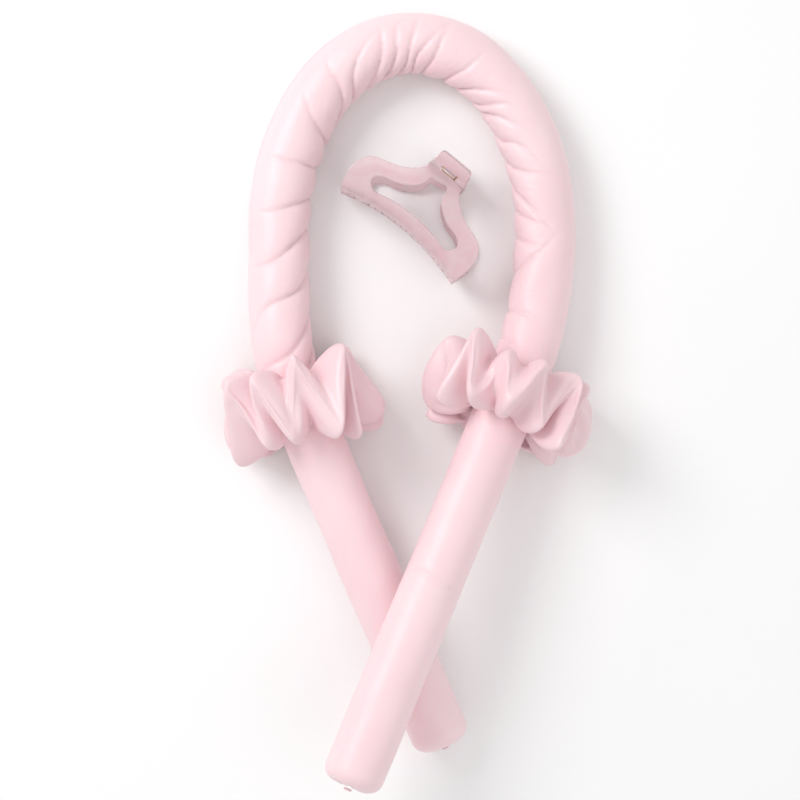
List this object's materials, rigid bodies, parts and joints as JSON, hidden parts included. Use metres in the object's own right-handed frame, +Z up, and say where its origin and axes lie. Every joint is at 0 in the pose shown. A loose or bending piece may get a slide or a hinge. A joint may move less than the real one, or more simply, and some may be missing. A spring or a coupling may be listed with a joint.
{
  "type": "heatless hair curling set",
  "caption": "Satin-sleeved foam curling rod lying in a bow with crossed arms, with gathered satin hair bands on its arms and a sprung claw clip inside the bow.",
  "frame": {"origin": "on the surface the set lies on, under the middle of the set's plan", "axes": "+Y along the set towards the crown of the bow, +X to the right seen from above, +Z up"},
  "size_m": [0.2, 0.421, 0.0799],
  "materials": {
    "satin_sleeve": "soft satin, pale pink",
    "satin_band": "glossy satin, pale pink",
    "foam": "matt foam",
    "elastic": "braided elastic",
    "thread": "matt thread",
    "clip_plastic": "translucent gloss",
    "pin_steel": "drawn wire",
    "spring_wire": "gold-coloured plated wire"
  },
  "bodies": {
    "left_rod": {"left_sleeve": "satin_sleeve", "left_foam_core": "foam", "left_end_thread": "thread"},
    "right_rod": {"right_sleeve": "satin_sleeve", "right_foam_core": "foam", "right_end_thread": "thread"},
    "left_band": {"left_band_cover": "satin_band", "left_band_elastic": "elastic"},
    "right_band": {"right_band_cover": "satin_band", "right_band_elastic": "elastic"},
    "clip_lower": {"clip_lower_jaw": "clip_plastic", "clip_hinge_pin": "pin_steel", "clip_spring": "spring_wire"},
    "clip_upper": {"clip_upper_jaw": "clip_plastic"}
  },
  "joints": [
    {"name": "bow_flex", "type": "hinge", "parent": "left_rod", "child": "right_rod", "pos_m": [0.00403, 0.19404, 0.0165], "axis": [0, 0, 1], "range_deg": [0, 50]},
    {"name": "left_band_slide", "type": "slide", "parent": "left_rod", "child": "left_band", "axis": [0.3922, -0.9196, -0.0235], "range_m": [0, 0.03]},
    {"name": "right_band_slide", "type": "slide", "parent": "right_rod", "child": "right_band", "axis": [-0.3836, -0.9081, 0.1677], "range_m": [0, 0.03]},
    {"name": "clip_lift", "type": "slide", "parent": "left_rod", "child": "clip_lower", "axis": [0, 0, 1], "range_m": [0, 0.12]},
    {"name": "clip_jaw_open", "type": "hinge", "parent": "clip_lower", "child": "clip_upper", "pos_m": [0.02276, 0.11926, 0.01952], "axis": [-0.7705, 0.6374, 0], "range_deg": [0, 50], "stiffness_Nm_per_rad": 0.02, "springref_deg": -20.05, "deforming": ["clip_spring"]}
  ]
}
